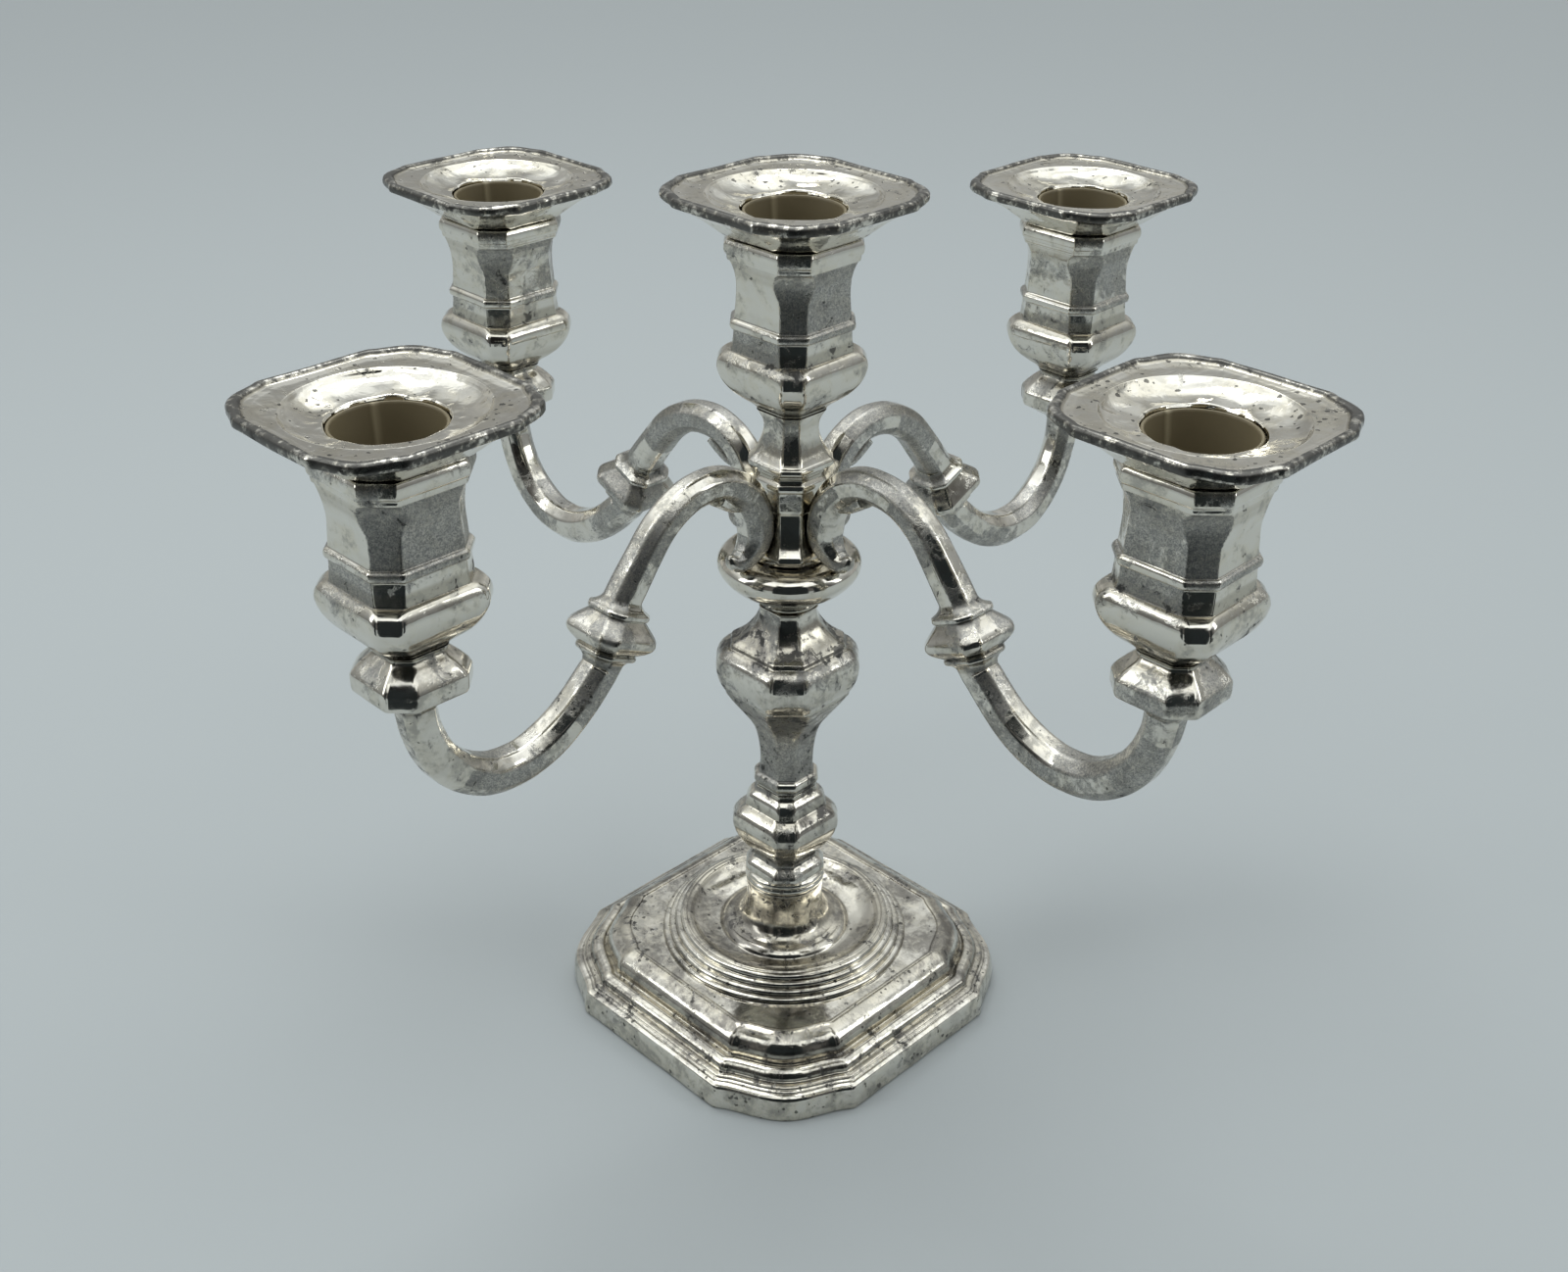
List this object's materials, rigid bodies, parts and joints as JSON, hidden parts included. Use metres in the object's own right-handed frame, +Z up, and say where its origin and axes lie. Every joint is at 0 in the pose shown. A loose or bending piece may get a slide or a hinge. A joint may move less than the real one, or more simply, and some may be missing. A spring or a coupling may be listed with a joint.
{
  "type": "candelabra",
  "caption": "Silver-plated tabletop candelabra: stepped square base, baluster stem, scroll arms on a turning hub, with candle cups and lift-off drip pans.",
  "frame": {"origin": "centre of the base on the surface it stands on", "axes": "+Z up along the stem; the arms run along +X, +Y, -X and -Y and the base sides face the same ways"},
  "size_m": [0.2902, 0.2902, 0.2368],
  "materials": {
    "silver_plate": "bright silver plate, slightly warm, with grey tarnish, pits and worn frosted patches",
    "rod_brass": "dull turned brass",
    "screw_steel": "plain steel",
    "cover_tin": "dull tinned sheet",
    "sleeve_plastic": "matte olive-beige liner"
  },
  "bodies": {
    "stand": {"base_shell": "silver_plate", "base_cover": "cover_tin", "tie_washer": "rod_brass", "tie_nut": "rod_brass", "tie_rod": "rod_brass", "stem_knop": "silver_plate", "stem_vase": "silver_plate", "ball_cup": "silver_plate"},
    "branch": {"branch_hub": "silver_plate", "arm_right": "silver_plate", "arm_back": "silver_plate", "arm_left": "silver_plate", "arm_front": "silver_plate", "cup_centre": "silver_plate", "cup_right": "silver_plate", "cup_back": "silver_plate", "cup_left": "silver_plate", "cup_front": "silver_plate", "cup_screw_centre": "screw_steel", "cup_screw_right": "screw_steel", "cup_screw_back": "screw_steel", "cup_screw_left": "screw_steel", "cup_screw_front": "screw_steel", "candle_sleeve_centre": "sleeve_plastic", "candle_sleeve_right": "sleeve_plastic", "candle_sleeve_back": "sleeve_plastic", "candle_sleeve_left": "sleeve_plastic", "candle_sleeve_front": "sleeve_plastic"},
    "pan_centre": {"drip_pan_centre": "silver_plate"},
    "pan_right": {"drip_pan_right": "silver_plate"},
    "pan_back": {"drip_pan_back": "silver_plate"},
    "pan_left": {"drip_pan_left": "silver_plate"},
    "pan_front": {"drip_pan_front": "silver_plate"}
  },
  "joints": [
    {"name": "branch_turn", "type": "hinge", "parent": "stand", "child": "branch", "pos_m": [0, 0, 0.1405], "axis": [0, 0, 1], "continuous": true},
    {"name": "pan_lift_centre", "type": "slide", "parent": "branch", "child": "pan_centre", "axis": [0, 0, 1], "range_m": [0, 0.03]},
    {"name": "pan_lift_right", "type": "slide", "parent": "branch", "child": "pan_right", "axis": [0, 0, 1], "range_m": [0, 0.03]},
    {"name": "pan_lift_back", "type": "slide", "parent": "branch", "child": "pan_back", "axis": [0, 0, 1], "range_m": [0, 0.03]},
    {"name": "pan_lift_left", "type": "slide", "parent": "branch", "child": "pan_left", "axis": [0, 0, 1], "range_m": [0, 0.03]},
    {"name": "pan_lift_front", "type": "slide", "parent": "branch", "child": "pan_front", "axis": [0, 0, 1], "range_m": [0, 0.03]}
  ]
}
